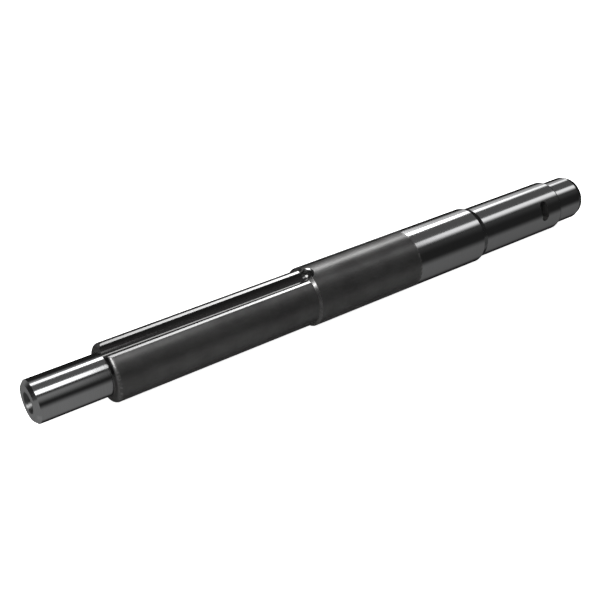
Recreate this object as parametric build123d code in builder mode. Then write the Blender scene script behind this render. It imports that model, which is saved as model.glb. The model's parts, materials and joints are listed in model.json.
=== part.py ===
from build123d import *
import math
import os

# A stepped drive shaft, turned from one steel bar. Its axis is X, from the journal end to the
# tip, with the origin on the axis at mid-length and the keyway facing +Z. Sizes are in mm.

# Turned steps: diameter and length of each, from the journal end to the tip
journal_d = 30.0
journal_length = 52.5
keyed_d = 41.5
keyed_length = 160.5
body_d = 45.0
body_length = 169.0
seat_d = 41.0
seat_length = 88.5
tip_d = 36.0
tip_length = 29.5

# Edge breaks: 45 degree chamfers, a rounded shoulder edge, and the long lead-ins of body and tip
journal_chamfer = 2.3
keyed_round = 2.8
lead_in_length = 5.4
lead_in_drop = 1.75
seat_chamfer = 1.2
tip_lead_length = 5.0
tip_lead_drop = 1.7
tip_edge_radius = 1.0
corner_radius = 0.6

# Keyway: 12 mm wide, milled from the shoulder with a hollow floor and a flat land along each lip
key_width = 12.0
key_depth = 5.75
key_floor_radius = 5.0
land_drop = 1.6
lip_chamfer = 1.0

# Blind cross pocket in the seat, longer round the shaft than along it
pocket_width = 8.2
pocket_length = 16.5
pocket_depth = 8.0
pocket_angle = 60.0
pocket_to_shoulder = 20.5

# Threaded centre in the journal end: M10 with a 60 degree seat and a relief above the thread
centre_angle = 60.0
thread_mouth_d = 14.9
thread_relief_d = 10.5
thread_relief_depth = 7.5
thread_core_d = 8.5
thread_hole_depth = 30.0
drill_point_angle = 118.0

# Plain 60 degree centre in the tip
tip_centre_mouth_d = 8.5
tip_centre_pilot_d = 4.0
tip_centre_depth = 8.8

# Radii and stations along the axis
journal_r = journal_d / 2
keyed_r = keyed_d / 2
body_r = body_d / 2
seat_r = seat_d / 2
tip_r = tip_d / 2
total_length = journal_length + keyed_length + body_length + seat_length + tip_length
journal_end = -total_length / 2
keyed_start = journal_end + journal_length
body_start = keyed_start + keyed_length
seat_start = body_start + body_length
tip_start = seat_start + seat_length
tip_end = tip_start + tip_length
body_cone = abs(body_r - keyed_r)


def cone_depth(wide_r, narrow_r, included_angle):
    """Axial length of a cone between two radii."""
    return (wide_r - narrow_r) / math.tan(math.radians(included_angle / 2))


with BuildPart() as shaft:
    # The turned outline: half the section, revolved about the axis
    with BuildSketch(Plane.XZ) as outline:
        with BuildLine():
            Polyline(
                (journal_end, 0),
                (journal_end, journal_r - journal_chamfer),
                (journal_end + journal_chamfer, journal_r),
                (keyed_start, journal_r),
                (keyed_start, keyed_r),
                (body_start, keyed_r),
                (body_start + body_cone, body_r),
                (seat_start - lead_in_length, body_r),
                (seat_start, body_r - lead_in_drop),
                (seat_start, seat_r),
                (tip_start - seat_chamfer, seat_r),
                (tip_start, seat_r - seat_chamfer),
                (tip_start, tip_r),
                (tip_end - tip_lead_length, tip_r),
                (tip_end, tip_r - tip_lead_drop),
                (tip_end, 0),
                close=True,
            )
        make_face()
        # The turning tool leaves a small radius where the journal meets its shoulder
        journal_corner = outline.vertices().sort_by_distance((keyed_start, journal_r))[0]
        fillet(journal_corner, corner_radius)
        # The rounded edges of the journal's shoulder and of the tip's end
        shoulder_edge = outline.vertices().sort_by_distance((keyed_start, keyed_r))[0]
        fillet(shoulder_edge, min(keyed_round, abs(keyed_r - journal_r) * 0.6))
        tip_edge = outline.vertices().sort_by_distance((tip_end, tip_r - tip_lead_drop))[0]
        fillet(tip_edge, tip_edge_radius)
    revolve(axis=Axis.X)

    # The flat that leaves a narrow land on each side of the keyway
    with BuildSketch(Plane.XY.offset(keyed_r - land_drop)):
        with Locations((keyed_start, 0)):
            Rectangle(keyed_length, keyed_d, align=(Align.MIN, Align.CENTER))
    extrude(amount=land_drop + 1, mode=Mode.SUBTRACT)

    # The keyway runs in over the journal's corner and ends round in the body
    with BuildPart(mode=Mode.PRIVATE) as key_cutter:
        with BuildSketch(Plane.XY.offset(keyed_r - key_depth)):
            with Locations((body_start, 0)):
                Circle(key_width / 2)
                Rectangle(keyed_length + corner_radius, key_width, align=(Align.MAX, Align.CENTER))
        extrude(amount=key_depth + body_cone + 1)
        floor_edges = key_cutter.faces().sort_by(Axis.Z)[0].edges()
        # The open end of the floor stays square; the sides and the round end are hollowed
        fillet(floor_edges.sort_by(Axis.X)[1:], key_floor_radius)
    add(key_cutter.part, mode=Mode.SUBTRACT)

    # The broken edge round the keyway's end
    with Locations((body_start, 0, body_r)):
        Cone(
            bottom_radius=key_width / 2,
            top_radius=key_width / 2 + 2 * lip_chamfer,
            height=2 * lip_chamfer,
            mode=Mode.SUBTRACT,
        )

    # The blind cross pocket
    pocket_normal = Vector(0, 0, 1).rotate(Axis.X, pocket_angle)
    pocket_centre = Vector(tip_start - pocket_to_shoulder, 0, 0)
    pocket_plane = Plane(origin=pocket_centre, x_dir=(1, 0, 0), z_dir=pocket_normal)
    with BuildSketch(pocket_plane.offset(seat_r - pocket_depth)):
        SlotOverall(pocket_length, pocket_width, rotation=90)
    extrude(amount=pocket_depth + 1, mode=Mode.SUBTRACT)

    # The threaded centre, to its core diameter
    with BuildSketch(Plane.XZ):
        with BuildLine():
            mouth_r = thread_mouth_d / 2
            relief_r = thread_relief_d / 2
            core_r = thread_core_d / 2
            hole_bottom = journal_end + thread_hole_depth
            Polyline(
                (journal_end, 0),
                (journal_end, mouth_r),
                (journal_end + cone_depth(mouth_r, relief_r, centre_angle), relief_r),
                (journal_end + thread_relief_depth, relief_r),
                (journal_end + thread_relief_depth, core_r),
                (hole_bottom, core_r),
                (hole_bottom + cone_depth(core_r, 0, drill_point_angle), 0),
                close=True,
            )
        make_face()
    revolve(axis=Axis.X, mode=Mode.SUBTRACT)

    # The plain centre in the tip
    with BuildSketch(Plane.XZ):
        with BuildLine():
            tip_mouth_r = tip_centre_mouth_d / 2
            pilot_r = tip_centre_pilot_d / 2
            pilot_bottom = tip_end - tip_centre_depth
            Polyline(
                (tip_end, 0),
                (tip_end, tip_mouth_r),
                (tip_end - cone_depth(tip_mouth_r, pilot_r, centre_angle), pilot_r),
                (pilot_bottom, pilot_r),
                (pilot_bottom - cone_depth(pilot_r, 0, drill_point_angle), 0),
                close=True,
            )
        make_face()
    revolve(axis=Axis.X, mode=Mode.SUBTRACT)

shaft.part.label = "shaft"
os.makedirs("parts", exist_ok=True)
export_step(shaft.part, "parts/shaft.step")
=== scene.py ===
import json
import math
import bpy
from mathutils import Matrix, Vector


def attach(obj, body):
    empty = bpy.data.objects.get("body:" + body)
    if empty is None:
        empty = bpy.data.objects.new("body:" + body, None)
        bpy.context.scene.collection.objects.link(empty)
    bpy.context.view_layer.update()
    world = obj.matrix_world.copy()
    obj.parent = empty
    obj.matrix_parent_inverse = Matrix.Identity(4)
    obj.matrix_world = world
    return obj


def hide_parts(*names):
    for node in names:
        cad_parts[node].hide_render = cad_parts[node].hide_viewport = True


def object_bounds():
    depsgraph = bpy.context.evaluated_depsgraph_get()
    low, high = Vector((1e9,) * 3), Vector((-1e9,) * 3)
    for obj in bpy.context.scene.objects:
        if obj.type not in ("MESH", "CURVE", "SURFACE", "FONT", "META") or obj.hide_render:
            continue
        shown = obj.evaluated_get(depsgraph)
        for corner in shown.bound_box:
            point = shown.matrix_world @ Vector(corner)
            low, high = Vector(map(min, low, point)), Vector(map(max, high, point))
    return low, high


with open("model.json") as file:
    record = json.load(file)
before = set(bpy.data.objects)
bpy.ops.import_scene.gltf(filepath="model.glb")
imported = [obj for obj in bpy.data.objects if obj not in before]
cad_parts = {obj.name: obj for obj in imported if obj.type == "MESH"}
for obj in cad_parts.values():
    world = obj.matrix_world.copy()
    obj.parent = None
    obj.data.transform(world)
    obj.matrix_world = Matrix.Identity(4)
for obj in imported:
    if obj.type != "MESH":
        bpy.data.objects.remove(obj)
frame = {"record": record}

cad_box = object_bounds()

# ---------------------------------------------------------------------------------------------
# The shaft. One bar of alloy steel, turned to five diameters, then milled for its key and its
# cross pocket and drilled at both ends. The bearing seats are ground bright, and the keyed half
# keeps the dark skin of its heat treatment.

mm = 0.001

# Stretches along the axis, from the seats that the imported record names
seats = {mount["name"]: mount for mount in frame["record"]["mounts"]}


def seat_of(name):
    """Radius, start and end of a turned seat."""
    seat = seats[name]
    half_length = seat["dims"]["length_mm"] * mm / 2
    return seat["dims"]["r_mm"] * mm, seat["pos_m"][0] - half_length, seat["pos_m"][0] + half_length


journal_end, tip_end = cad_box[0].x, cad_box[1].x
journal_radius, journal_start, journal_stop = seat_of("journal")
keyed_radius, keyed_start, body_start = seat_of("keyed_seat")
body_radius, body_flat_start, body_stop = seat_of("body_seat")
seat_radius, seat_start, seat_stop = seat_of("end_seat")
tip_radius, tip_start, tip_stop = seat_of("tip")
thread_radius = seats["end_thread"]["dims"]["r_mm"] * mm
thread_length = seats["end_thread"]["dims"]["length_mm"] * mm
shoulder = seats["journal_shoulder"]["pos_m"][0]

# Edges and corners of the turned outline. The dark skin ends where the body is ground, and an
# extra point beside each rounding keeps the long faces true.
journal_break = journal_start - journal_end
shoulder_round = keyed_start - shoulder
corner_radius = shoulder - journal_stop
lead_in_drop = 1.75 * mm
seat_break = tip_start - seat_stop
seat_bevel = 0.9 * mm
seat_bevel_drop = 0.27 * mm
tip_corner = 1.1 * mm
tip_lead_drop = 1.7 * mm
tip_edge = 1 * mm
ground_from = 60 * mm
flat_margin = 0.3 * mm
bar_sides = 384

# Keyway with a land along each side
key_width = 12 * mm
key_depth = 5.75 * mm
key_corner = 5.85 * mm
key_edge_break = 0.4 * mm
key_run_out = 2 * mm
land_drop = 1.6 * mm
lip_break = 1 * mm

# Cross pocket
pocket_width = 8.2 * mm
pocket_length = 16.5 * mm
pocket_depth = 8 * mm
pocket_corner = 0.4 * mm
pocket_angle = math.radians(60)
pocket_to_tip = 20.5 * mm

# Tapped centre in the journal, and the plain centre in the tip
mouth_radius = 7.45 * mm
relief_radius = 5.25 * mm
relief_depth = 7.5 * mm
thread_pitch = 1.5 * mm
thread_height = 0.75 * mm
thread_share = 0.85
steps_a_turn = 8
pilot_mouth_radius = 4.25 * mm
pilot_radius = 2 * mm
pilot_depth = 8.8 * mm
centre_slope = math.tan(math.radians(30))
drill_slope = math.tan(math.radians(59))

# How far a tool starts outside the bar, and how round the tools are
past_face = 1 * mm
tool_sides = 96


class Amount:
    """A number inside a node tree. Ordinary arithmetic on it adds the Math nodes."""

    def __init__(self, socket):
        self.socket = socket

    def worked(self, operation, first, second=0.0):
        tree = self.socket.id_data
        math_node = place(tree, "ShaderNodeMath", {"operation": operation}, {0: first, 1: second})
        return Amount(math_node.outputs[0])

    def __add__(self, other):
        return self.worked("ADD", self, other)

    def __sub__(self, other):
        return self.worked("SUBTRACT", self, other)

    def __rsub__(self, other):
        return self.worked("SUBTRACT", other, self)

    def __mul__(self, other):
        return self.worked("MULTIPLY", self, other)

    def __truediv__(self, other):
        return self.worked("DIVIDE", self, other)

    def __pow__(self, other):
        return self.worked("POWER", self, other)

    def __mod__(self, other):
        return self.worked("FLOORED_MODULO", self, other)

    def __gt__(self, other):
        return self.worked("GREATER_THAN", self, other)

    def __lt__(self, other):
        return self.worked("LESS_THAN", self, other)

    def __abs__(self):
        return self.worked("ABSOLUTE", self)

    def whole(self):
        return self.worked("FLOOR", self)

    def sine(self):
        return self.worked("SINE", self)

    def cosine(self):
        return self.worked("COSINE", self)

    __radd__ = __add__
    __rmul__ = __mul__


def place(tree, kind, settings=None, inputs=None):
    """Adds one node: its settings first, then a value or a link for each socket that is named."""
    node = tree.nodes.new(kind)
    for name, value in (settings or {}).items():
        setattr(node, name, value)
    for name, value in (inputs or {}).items():
        socket = node.inputs[name]
        value = value.socket if isinstance(value, Amount) else value
        if isinstance(value, bpy.types.NodeSocket):
            tree.links.new(value, socket)
        else:
            socket.default_value = value
    return node


def rise(amount, start, end):
    """0 below start, 1 above end, and a smooth step between them."""
    tree = amount.socket.id_data
    step = place(tree, "ShaderNodeMapRange", {"interpolation_type": "SMOOTHSTEP"},
                 {"Value": amount, "From Min": start, "From Max": end})
    return Amount(step.outputs["Result"])


def band(amount, start, end, soft):
    """1 between start and end, with a smooth edge on each side."""
    return rise(amount, start - soft, start + soft) * (1 - rise(amount, end - soft, end + soft))


def new_finish(name):
    """A steel finish: its tree, its shader, and the object's own coordinates."""
    finish = bpy.data.materials.new(name)
    finish.use_nodes = True
    tree = finish.node_tree
    shader = tree.nodes["Principled BSDF"]
    shader.inputs["Metallic"].default_value = 1
    coordinates = place(tree, "ShaderNodeTexCoord").outputs["Object"]
    return finish, tree, shader, coordinates


def cloud(tree, coordinates, scale, detail=2, roughness=0.5):
    """Noise with so many grains to the metre along each axis."""
    stretched = place(tree, "ShaderNodeMapping", {}, {"Vector": coordinates, "Scale": scale})
    noise = place(tree, "ShaderNodeTexNoise", {},
                  {"Vector": stretched.outputs[0], "Scale": 1, "Detail": detail, "Roughness": roughness})
    return Amount(noise.outputs["Fac"])


def tint(tree, amount, dark, bright):
    """A colour between dark and bright, each a colour or another blend."""
    ends = [end if isinstance(end, bpy.types.NodeSocket) else (*end, 1) for end in (dark, bright)]
    mix = place(tree, "ShaderNodeMix", {"data_type": "RGBA"}, {0: amount, 6: ends[0], 7: ends[1]})
    return mix.outputs[2]


def roughen(tree, shader, height, distance):
    """Puts fine relief on a finish."""
    bump = place(tree, "ShaderNodeBump", {}, {"Height": height, "Distance": distance})
    tree.links.new(bump.outputs[0], shader.inputs["Normal"])


# Ground steel: fine circular grinding marks, and a faint haze
ground, tree, shader, coordinates = new_finish("ground_steel")
marks = cloud(tree, coordinates, (2600, 25, 25), 3)
haze = cloud(tree, coordinates, (30, 45, 45), 3)
tree.links.new(tint(tree, marks * 0.7 + haze * 0.3, (0.5, 0.502, 0.506), (0.6, 0.602, 0.606)),
               shader.inputs["Base Color"])
tree.links.new((0.08 + marks * 0.04 + haze * 0.04).socket, shader.inputs["Roughness"])
shader.inputs["Specular Tint"].default_value = (0.6, 0.6, 0.6, 1)
roughen(tree, shader, marks, 0.004 * mm)

# Dark steel: the skin left by heat treatment over coarser turning marks. It is rubbed bright in spots on the
# shoulder's edge and where the grinding starts, smoother on the cone that climbs to the body, and painted
# near black as shade over part of the shoulder's face and its hollow corner.
dark, tree, shader, coordinates = new_finish("dark_steel")
station, sideways, height = (Amount(socket) for socket in
                             place(tree, "ShaderNodeSeparateXYZ", {}, {0: coordinates}).outputs)
marks = cloud(tree, coordinates, (1400, 12, 12), 3)
blotches = cloud(tree, coordinates, (40, 60, 60), 4, 0.6)
skin = tint(tree, marks * 0.3 + rise(blotches, 0.3, 0.7) * 0.7, (0.12, 0.119, 0.118), (0.178, 0.177, 0.176))
edges = (band(station, shoulder + 0.6 * mm, keyed_start, 0.6 * mm)
         + band(station, ground_from - 1.5 * mm, ground_from + 1 * mm, 1 * mm))
rubbed = rise(cloud(tree, coordinates, (300, 500, 500), 3), 0.45, 0.6)
worn = tint(tree, edges * rubbed * 0.5, skin, (0.34, 0.34, 0.34))
# Painted shade: one band of the shoulder's face and its hollow corner is made near black and a little rougher
on_face = 1 - rise(station, shoulder + 0.15 * mm, shoulder + 0.5 * mm)
painted_corner_shade = on_face * band(height * 0.71 + sideways * 0.7, -4 * mm, 12 * mm, 3 * mm)
tree.links.new(tint(tree, painted_corner_shade, worn, (0.012, 0.012, 0.012)), shader.inputs["Base Color"])
on_cone = band(station, body_start, body_flat_start, 0.3 * mm)
tree.links.new((0.3 + blotches * 0.08 + painted_corner_shade * 0.2 - on_cone * 0.14).socket,
               shader.inputs["Roughness"])
shader.inputs["Metallic"].default_value = 0.92
shader.inputs["Specular Tint"].default_value = (0.15, 0.15, 0.15, 1)
roughen(tree, shader, marks, 0.006 * mm)

# Milled steel: the walls and floors that the end mill left
milled, tree, shader, coordinates = new_finish("milled_steel")
marks = cloud(tree, coordinates, (500, 500, 500), 3)
tree.links.new(tint(tree, marks, (0.08, 0.079, 0.078), (0.12, 0.119, 0.118)), shader.inputs["Base Color"])
tree.links.new((0.1 + marks * 0.05).socket, shader.inputs["Roughness"])
shader.inputs["Metallic"].default_value = 0.88
roughen(tree, shader, marks, 0.01 * mm)

# Bored steel: the dull inside of the centre holes, its colour kept dark as painted shade inside the holes
bored, tree, shader, coordinates = new_finish("bored_steel")
marks = cloud(tree, coordinates, (900, 300, 300), 3)
tree.links.new(tint(tree, marks, (0.06, 0.06, 0.06), (0.09, 0.09, 0.09)), shader.inputs["Base Color"])
tree.links.new((0.28 + marks * 0.08).socket, shader.inputs["Roughness"])
shader.inputs["Metallic"].default_value = 0.85
roughen(tree, shader, marks, 0.008 * mm)

# Cut steel: bright lands, edge breaks and faces fresh from the tool
cut, tree, shader, coordinates = new_finish("cut_steel")
marks = cloud(tree, coordinates, (700, 700, 700), 3)
tree.links.new(tint(tree, marks, (0.24, 0.24, 0.24), (0.31, 0.31, 0.31)), shader.inputs["Base Color"])
tree.links.new((0.2 + marks * 0.08).socket, shader.inputs["Roughness"])
roughen(tree, shader, marks, 0.008 * mm)


def turning_tree():
    """Turns an outline, drawn in the XZ half plane, into a solid about the X axis."""
    tree = bpy.data.node_groups.new("turning", "GeometryNodeTree")
    tree.interface.new_socket("Outline", in_out="INPUT", socket_type="NodeSocketGeometry")
    for name, kind, value in (
        ("Sides", "NodeSocketInt", 96),
        ("Thread Start", "NodeSocketFloat", 0.0),
        ("Thread End", "NodeSocketFloat", 0.0),
        ("Thread Pitch", "NodeSocketFloat", 1.0),
        ("Thread Height", "NodeSocketFloat", 0.0),
        ("Second From", "NodeSocketFloat", 0.0),
        ("Second To", "NodeSocketFloat", 0.0),
    ):
        tree.interface.new_socket(name, in_out="INPUT", socket_type=kind).default_value = value
    tree.interface.new_socket("First Finish", in_out="INPUT", socket_type="NodeSocketMaterial")
    tree.interface.new_socket("Second Finish", in_out="INPUT", socket_type="NodeSocketMaterial")
    tree.interface.new_socket("Solid", in_out="OUTPUT", socket_type="NodeSocketGeometry")
    given = tree.nodes.new("NodeGroupInput").outputs
    outline = given["Outline"]
    points = place(tree, "GeometryNodeAttributeDomainSize", {"component": "MESH"}, {"Geometry": outline})
    columns = Amount(given["Sides"]) + 1
    sheet = place(tree, "GeometryNodeMeshGrid", {},
                  {"Size X": 1.0, "Size Y": 1.0,
                   "Vertices X": points.outputs["Point Count"], "Vertices Y": columns})
    index = Amount(place(tree, "GeometryNodeInputIndex").outputs[0])
    row = ((index + 0.5) / columns).whole()
    column = index - row * columns
    angle = column / Amount(given["Sides"]) * (2 * math.pi)
    position = place(tree, "GeometryNodeInputPosition").outputs[0]
    drawn = place(tree, "GeometryNodeSampleIndex", {"data_type": "FLOAT_VECTOR", "domain": "POINT"},
                  {"Geometry": outline, "Value": position, "Index": row})
    station, _, radius = (Amount(socket) for socket in
                          place(tree, "ShaderNodeSeparateXYZ", {}, {0: drawn.outputs[0]}).outputs)
    threaded = (station > given["Thread Start"]) * (station < given["Thread End"])
    turn = station / given["Thread Pitch"] + angle / (2 * math.pi)
    crest = abs((turn % 1.0) * 2 - 1)
    radius = radius + threaded * crest * given["Thread Height"]
    turned = place(tree, "ShaderNodeCombineXYZ", {},
                   {0: station, 1: radius * angle.sine(), 2: radius * angle.cosine()})
    solid = place(tree, "GeometryNodeSetPosition", {},
                  {"Geometry": sheet.outputs["Mesh"], "Position": turned.outputs[0]}).outputs[0]
    closed = place(tree, "GeometryNodeMergeByDistance", {},
                   {"Geometry": solid, "Distance": 0.004 * mm}).outputs[0]
    along = Amount(place(tree, "ShaderNodeSeparateXYZ", {}, {0: position}).outputs[0])
    real = place(tree, "GeometryNodeRealizeInstances", {}, {0: closed}).outputs[0]
    first = place(tree, "GeometryNodeSetMaterial", {}, {"Geometry": real, "Material": given["First Finish"]})
    both = place(tree, "GeometryNodeSetMaterial", {},
                 {"Geometry": first.outputs[0],
                  "Selection": (along > given["Second From"]) * (along < given["Second To"]),
                  "Material": given["Second Finish"]})
    place(tree, "NodeGroupOutput", {}, {"Solid": both.outputs[0]})
    return tree


turning = turning_tree()


def turned_solid(name, outline, sides, first, second=None, between=(0.0, 0.0), thread=(0.0, 0.0)):
    """An object that is the outline turned about the axis, with its modifier still live."""
    mesh = bpy.data.meshes.new(name)
    mesh.from_pydata([(station, 0, radius) for station, radius in outline],
                     [(i, i + 1) for i in range(len(outline) - 1)], [])
    solid = bpy.data.objects.new(name, mesh)
    bpy.context.collection.objects.link(solid)
    lathe = solid.modifiers.new("turning", "NODES")
    lathe.node_group = turning
    settings = {
        "Sides": sides, "Thread Start": thread[0], "Thread End": thread[1], "Thread Pitch": thread_pitch,
        "Thread Height": thread_height, "Second From": between[0], "Second To": between[1],
        "First Finish": first, "Second Finish": second or first,
    }
    for socket in turning.interface.items_tree:
        if socket.in_out == "INPUT" and socket.name in settings:
            lathe[socket.identifier] = settings[socket.name]
    return solid


def quarter(steps):
    """The angles of a quarter circle, both ends among them."""
    return [math.pi / 2 * i / steps for i in range(steps + 1)]


def corner_up(face, low, radius, steps=4):
    """Points of a hollow corner that climbs from a diameter into the face after it."""
    return [(face - radius * (1 - math.sin(a)), low + radius * (1 - math.cos(a))) for a in quarter(steps)]


def corner_down(face, low, radius, steps=5):
    """Points of a hollow corner that runs out of a face onto the diameter after it."""
    return [(face + radius * (1 - math.cos(a)), low + radius * (1 - math.sin(a))) for a in quarter(steps)]


def edge_up(face, top, radius, steps=10):
    """Points of the rounded edge where a face meets the wider diameter after it."""
    return [(face + radius * (1 - math.cos(a)), top - radius * (1 - math.sin(a))) for a in quarter(steps)]


def edge_between(before, corner, after, radius, steps=6):
    """Points of the rounded edge between two straight lines of the outline."""
    before, corner, after = Vector(before), Vector(corner), Vector(after)
    start_way, end_way = (before - corner).normalized(), (after - corner).normalized()
    half = start_way.angle(end_way) / 2
    start = corner + start_way * radius / math.tan(half)
    end = corner + end_way * radius / math.tan(half)
    middle = corner + (start_way + end_way).normalized() * radius / math.sin(half)
    first, last = start - middle, end - middle
    return [tuple(middle + first.slerp(last, i / steps) * radius) for i in range(steps + 1)]


bar_outline = [
    (journal_end, 0),
    (journal_end, journal_radius - journal_break),
    (journal_start, journal_radius),
    (journal_stop - flat_margin, journal_radius),
    *corner_up(shoulder, journal_radius, corner_radius),
    *edge_up(shoulder, keyed_radius, shoulder_round),
    (keyed_start + flat_margin, keyed_radius),
    (body_start, keyed_radius),
    (body_flat_start, body_radius),
    (ground_from, body_radius),
    (body_stop, body_radius),
    (seat_start, body_radius - lead_in_drop),
    (seat_start, seat_radius),
    (seat_stop - seat_bevel, seat_radius),
    (seat_stop, seat_radius - seat_bevel_drop),
    (tip_start, seat_radius - seat_break),
    *corner_down(tip_start, tip_radius, tip_corner),
    (tip_start + tip_corner + flat_margin, tip_radius),
    (tip_stop, tip_radius),
    *edge_between((tip_stop, tip_radius), (tip_end, tip_radius - tip_lead_drop), (tip_end, 0), tip_edge),
    (tip_end, 0),
]
dark_stretch = (shoulder - corner_radius - 0.1 * mm, ground_from)
shaft = turned_solid("shaft_turned", bar_outline, bar_sides, ground, dark, dark_stretch)

# The drills and the tap: each is the shape that it takes away
thread_from = journal_end + relief_depth
thread_stop = thread_from + thread_length * thread_share
thread_end = thread_from + thread_length
thread_steps = round((thread_stop - thread_from) / thread_pitch * steps_a_turn)
tap_outline = [
    (journal_end - past_face, 0),
    (journal_end - past_face, mouth_radius + past_face * centre_slope),
    (journal_end + (mouth_radius - relief_radius) / centre_slope, relief_radius),
    (thread_from, relief_radius),
    *[(thread_from + (thread_stop - thread_from) * i / thread_steps, thread_radius)
      for i in range(thread_steps + 1)],
    (thread_end, thread_radius),
    (thread_end + thread_radius / drill_slope, 0),
]
last_turn = thread_stop - 0.1 * mm
end_thread = turned_solid("end_thread_tool", tap_outline, tool_sides, bored, thread=(thread_from, last_turn))
pilot_outline = [
    (tip_end - pilot_depth - pilot_radius / drill_slope, 0),
    (tip_end - pilot_depth, pilot_radius),
    (tip_end - (pilot_mouth_radius - pilot_radius) / centre_slope, pilot_radius),
    (tip_end + past_face, pilot_mouth_radius + past_face * centre_slope),
    (tip_end + past_face, 0),
]
tip_centre = turned_solid("tip_centre_tool", pilot_outline, tool_sides, bored)


# The cutters: closed solids of what the mill and the file take away
def milled_shape(name, levels, finish, turn=Matrix.Identity(4)):
    """A closed solid through outlines stacked upwards. Every outline has the same number of points."""
    points = [turn @ Vector(point) for level in levels for point in level]
    count = len(levels[0])
    faces = [tuple(reversed(range(count)))]
    for k in range(len(levels) - 1):
        base = k * count
        faces += [(base + i, base + (i + 1) % count, base + count + (i + 1) % count, base + count + i)
                  for i in range(count)]
    faces.append(tuple(range(len(points) - count, len(points))))
    mesh = bpy.data.meshes.new(name)
    mesh.from_pydata(points, [], faces)
    mesh.materials.append(finish)
    solid = bpy.data.objects.new(name, mesh)
    bpy.context.collection.objects.link(solid)
    return solid


def arc(centre_x, centre_y, radius, start, end, steps, height):
    """Points along an arc in plan, from one angle to the other."""
    return [
        (centre_x + radius * math.cos(math.radians(start + (end - start) * i / steps)),
         centre_y + radius * math.sin(math.radians(start + (end - start) * i / steps)), height)
        for i in range(steps + 1)
    ]


def key_level(height, inset):
    """The keyway in plan: open at the journal's corner, round in the body."""
    half = key_width / 2 - inset
    open_end = journal_stop - key_run_out
    round_end = arc(body_start, 0, half, -90, 90, 48, height)
    return [(open_end, -half, height), *round_end, (open_end, half, height)]


def corner_levels(level, floor, radius, steps=12):
    """Outlines that climb from a floor into its walls through a hollow corner."""
    return [level(floor + radius * (1 - math.cos(a)), radius * (1 - math.sin(a))) for a in quarter(steps)]


key_floor = keyed_radius - key_depth
key_levels = corner_levels(key_level, key_floor, key_corner)
clear_of_body = body_radius + 4 * mm
keyway = milled_shape("keyway_tool", [*key_levels, key_level(clear_of_body, 0)], milled)

land_height = keyed_radius - land_drop
land_start, land_side = shoulder - past_face, keyed_radius
land = milled_shape("land_tool", [
    [(land_start, -land_side, height), (body_start, -land_side, height), (body_start, land_side, height),
     (land_start, land_side, height)] for height in (land_height, keyed_radius + past_face)
], cut)
break_stop = body_start - past_face
break_foot = (land_height - key_edge_break, 0)
break_top = (land_height + 2 * key_edge_break, 3 * key_edge_break)
edge_break = milled_shape("key_edge_tool", [
    [(land_start, -key_width / 2 - reach, height), (break_stop, -key_width / 2 - reach, height),
     (break_stop, 0, height), (land_start, 0, height)]
    for height, reach in (break_foot, break_top)
], cut)
lip_foot = body_radius - lip_break
lip = milled_shape("lip_tool", [
    arc(body_start, 0, key_width / 2 + height - lip_foot, 0, 360 - 360 / tool_sides, tool_sides - 1, height)
    for height in (lip_foot, body_radius + lip_break)
], cut)


def pocket_level(height, inset):
    """The pocket in plan, longer round the shaft than along it."""
    half = pocket_width / 2 - inset
    reach = (pocket_length - pocket_width) / 2
    return arc(0, reach, half, 0, 180, 32, height) + arc(0, -reach, half, 180, 360, 32, height)


pocket_place = (Matrix.Translation((tip_start - pocket_to_tip, 0, 0))
                @ Matrix.Rotation(pocket_angle, 4, "X"))
pocket_levels = corner_levels(pocket_level, seat_radius - pocket_depth, pocket_corner)
clear_of_seat = seat_radius + 2 * mm
pocket = milled_shape("pocket_tool", [*pocket_levels, pocket_level(clear_of_seat, 0)], dark, pocket_place)

# Every tool cuts the bar in turn and leaves its own finish
tools = [land, edge_break, keyway, lip, pocket, end_thread, tip_centre]
for tool in tools:
    shave = shaft.modifiers.new(tool.name, "BOOLEAN")
    shave.operation = "DIFFERENCE"
    shave.solver = "EXACT"
    shave.material_mode = "TRANSFER"
    shave.object = tool
made = bpy.data.meshes.new_from_object(shaft.evaluated_get(bpy.context.evaluated_depsgraph_get()))
for tool in tools + [shaft]:
    bpy.data.objects.remove(tool)
made.name = "shaft_steel"
made.shade_smooth()
sharp_from = math.radians(12)
made.set_sharp_from_angle(angle=sharp_from)
shaft = bpy.data.objects.new("shaft_steel", made)
bpy.context.collection.objects.link(shaft)
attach(shaft, "root")
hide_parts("shaft")

# ---------------------------------------------------------------------------------------------
# The floor. A plain pale sheet of paper that the shaft lies on. Its own light fills the shadow,
# so it stays near white, and the steel reflects the studio and not the sheet.
floor_height = cad_box[0].z
floor_reach = 60.0
floor_mesh = bpy.data.meshes.new("floor")
floor_mesh.from_pydata(
    [(-floor_reach, -floor_reach, floor_height), (floor_reach, -floor_reach, floor_height),
     (floor_reach, floor_reach, floor_height), (-floor_reach, floor_reach, floor_height)], [], [(0, 1, 2, 3)])
paper = bpy.data.materials.new("pale_sheet")
paper.use_nodes = True
sheet = paper.node_tree.nodes["Principled BSDF"]
sheet.inputs["Base Color"].default_value = (0.9, 0.9, 0.9, 1)
sheet.inputs["Roughness"].default_value = 1
sheet.inputs["Specular IOR Level"].default_value = 0
sheet.inputs["Emission Color"].default_value = (1, 1, 1, 1)
sheet.inputs["Emission Strength"].default_value = 0.97
floor_mesh.materials.append(paper)
floor = bpy.data.objects.new("floor", floor_mesh)
bpy.context.collection.objects.link(floor)
floor.visible_glossy = False
floor.visible_shadow = False

# ---------------------------------------------------------------------------------------------
# The light. A dark studio with soft boxes in it: a long one behind the shaft, narrower ones
# overhead and past the journal, and a dull ground below. The world's own light makes them all.
studio = bpy.data.worlds.new("studio")
bpy.context.scene.world = studio
studio.use_nodes = True
tree = studio.node_tree
tree.nodes.clear()

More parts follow.
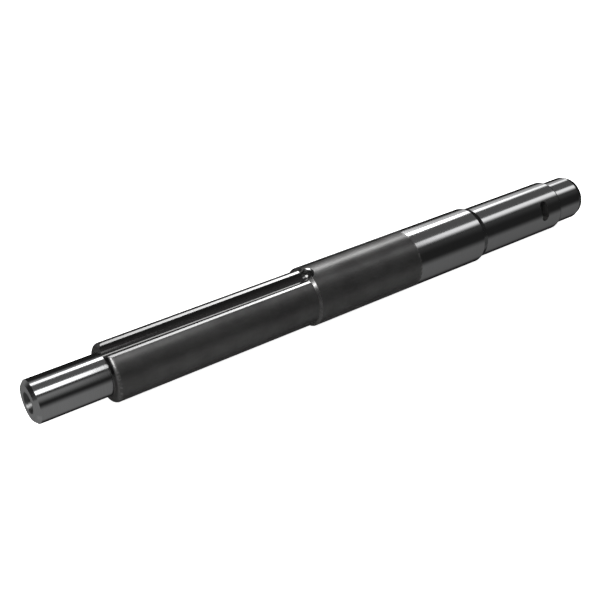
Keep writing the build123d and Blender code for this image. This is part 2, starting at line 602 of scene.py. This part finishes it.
# A direction is two numbers. About is the degrees round the shaft's axis, from the front of the
# studio over the top, and lean is how far it tips towards the tip, as a slope.
direction = place(tree, "ShaderNodeTexCoord").outputs["Generated"]
along, across, up = (Amount(socket) for socket in
                     place(tree, "ShaderNodeSeparateXYZ", {}, {0: direction}).outputs)
front_turn = 45.4
never_zero = 0.000001
turn = across.worked("ARCTAN2", across, up) * math.degrees(1)
about = (turn + (front_turn + 180)) % 360 - 180
lean = along / (across * across + up * up + never_zero) ** 0.5
forward = lean.worked("MAXIMUM", lean, 0)

# The long soft box behind. Its near edge is a bright core that swings back as it runs towards the
# tip, and its stretches have powers of their own: over the keyway, the body, the seat and the tip.
box_swing = 20
into_box = about - forward * box_swing
over_keyway = rise(lean, 0.29, 0.33) * (3.8 - rise(lean, 0.4, 0.5) * 1.4)
over_body = rise(lean, 0.59, 0.66) * 3.4
over_seat = rise(lean, 0.8, 0.85)
over_tip = rise(lean, 0.85, 1.1)
past_keyway = band(lean, 0.625, 0.675, 0.025)
core_power = ((2.2 + (over_keyway + over_body) * (1 - over_seat)) * (1 - over_tip * 0.4)
              * (1 + past_keyway * 0.7))
core = band(into_box, 71.5, 86, 3) * core_power * rise(lean, -0.6, -0.2)

# Behind its core the box is dimmer and wide, and it narrows to a faint tail towards the journal
wide_power = 0.95 + (1 - rise(lean, 0.72, 0.745)) * 2.9 + past_keyway * 1.5
wide_stretch = rise(lean, 0.52, 0.64) * (1 - rise(lean, 0.93, 1.05) * 0.2)
wide = rise(into_box, 73, 81) * (1 - rise(about, 120, 136)) * wide_stretch * wide_power
tail_power = 0.5
tail = rise(into_box, 73, 81) * (1 - rise(about, 88, 114)) * band(lean, 0, 0.33, 0.03) * tail_power

# The strips overhead, one above the journal and one above the ground seats, which twists a little
journal_strip_power = 3.2
journal_strip = band(about, 22, 41, 3) * band(lean, -0.55, 0.33, 0.015) * journal_strip_power
seat_strip_power = 1.6
twist = lean - 0.92
seat_strip = (rise(about - twist * 15, 18, 35) * (1 - rise(about - twist * 20, 41.5, 48))
              * rise(lean, 0.735, 0.76) * seat_strip_power)

# A faint haze between the strips and the box. All of these stop short of the tip end's wall.
haze_power = 0.12
haze = band(about, 44, 90, 4) * rise(lean, -0.6, -0.3) * haze_power
before_tip_wall = 1 - rise(lean, 1.15, 1.6)
soft_boxes = (core + wide + tail + journal_strip + seat_strip + haze) * before_tip_wall

# The small strong lamp past the journal end, taller and a little weaker on its side towards the shaft
inner = rise(lean, -1.3, -1.05)
end_lamp = (band(lean, -1.75, -0.5, 0.12) * rise(about + inner * 18, 27, 36)
            * (1 - rise(about - inner * 12, 42, 48)) * (16 - inner * 4))

# The front: a dim wall, and a pale card low in it before the journal
card_power = 0.27
card = rise(about, -28, -2) * (1 - rise(about, 3, 14)) * band(lean, -0.6, 0.33, 0.02) * card_power
front_power = 0.045
front = rise(about, -14, 16) * (1 - rise(about, 40, 60)) * (1 - rise(lean, 1.15, 1.6) * 0.7) * front_power

# The dull ground below, which reaches higher past the journal end, and the grey wall behind there
ground_reach = about + forward * 10 - (1 - rise(lean, -1.95, -1.7)) * 45
ground_power = 0.185 + (1 - rise(lean, 0.27, 0.42)) * 0.075
below = ((1 - rise(ground_reach, -57, -28)) * rise(about, -145, -120) * (1 - rise(lean, 1.3, 2) * 0.6)
         * ground_power)
wall_power = 0.34
end_wall = rise(abs(about), 110, 150) * (1 - rise(lean, 0, 0.15)) * wall_power

# The camera sees the studio as plain white, and the steel sees the lamps
darkest = 0.026
exposure = 0.8
light = (darkest + soft_boxes + end_lamp + card + front + below + end_wall) * exposure
seen = Amount(place(tree, "ShaderNodeLightPath").outputs["Is Camera Ray"])
glow = place(tree, "ShaderNodeBackground", {}, {"Color": (1, 1, 1, 1), "Strength": light * (1 - seen) + seen})
place(tree, "ShaderNodeOutputWorld", {}, {"Surface": glow.outputs[0]})

# ---------------------------------------------------------------------------------------------
# The camera. It stands above the journal end on the keyway's side, looks at a point near the
# middle of the shaft, and is rolled a little.
aim = Vector((-0.0399, -0.0006, -0.0006))
distance = 0.7302
azimuth = math.radians(39.181)
elevation = math.radians(37.469)
roll = math.radians(5.335)
level = Vector((-math.sin(azimuth), -math.cos(azimuth), 0))
away = level * math.cos(elevation) + Vector((0, 0, math.sin(elevation)))
camera_data = bpy.data.cameras.new("camera")
camera_data.lens = 59.968
camera_data.sensor_width = 36
camera_data.clip_start = 0.01
camera = bpy.data.objects.new("camera", camera_data)
bpy.context.collection.objects.link(camera)
camera.rotation_mode = "QUATERNION"
camera.location = aim + away * distance
camera.rotation_quaternion = (-away).to_track_quat("-Z", "Y") @ Matrix.Rotation(roll, 3, "Z").to_quaternion()
bpy.context.scene.camera = camera
bpy.context.scene.view_settings.view_transform = "Standard"
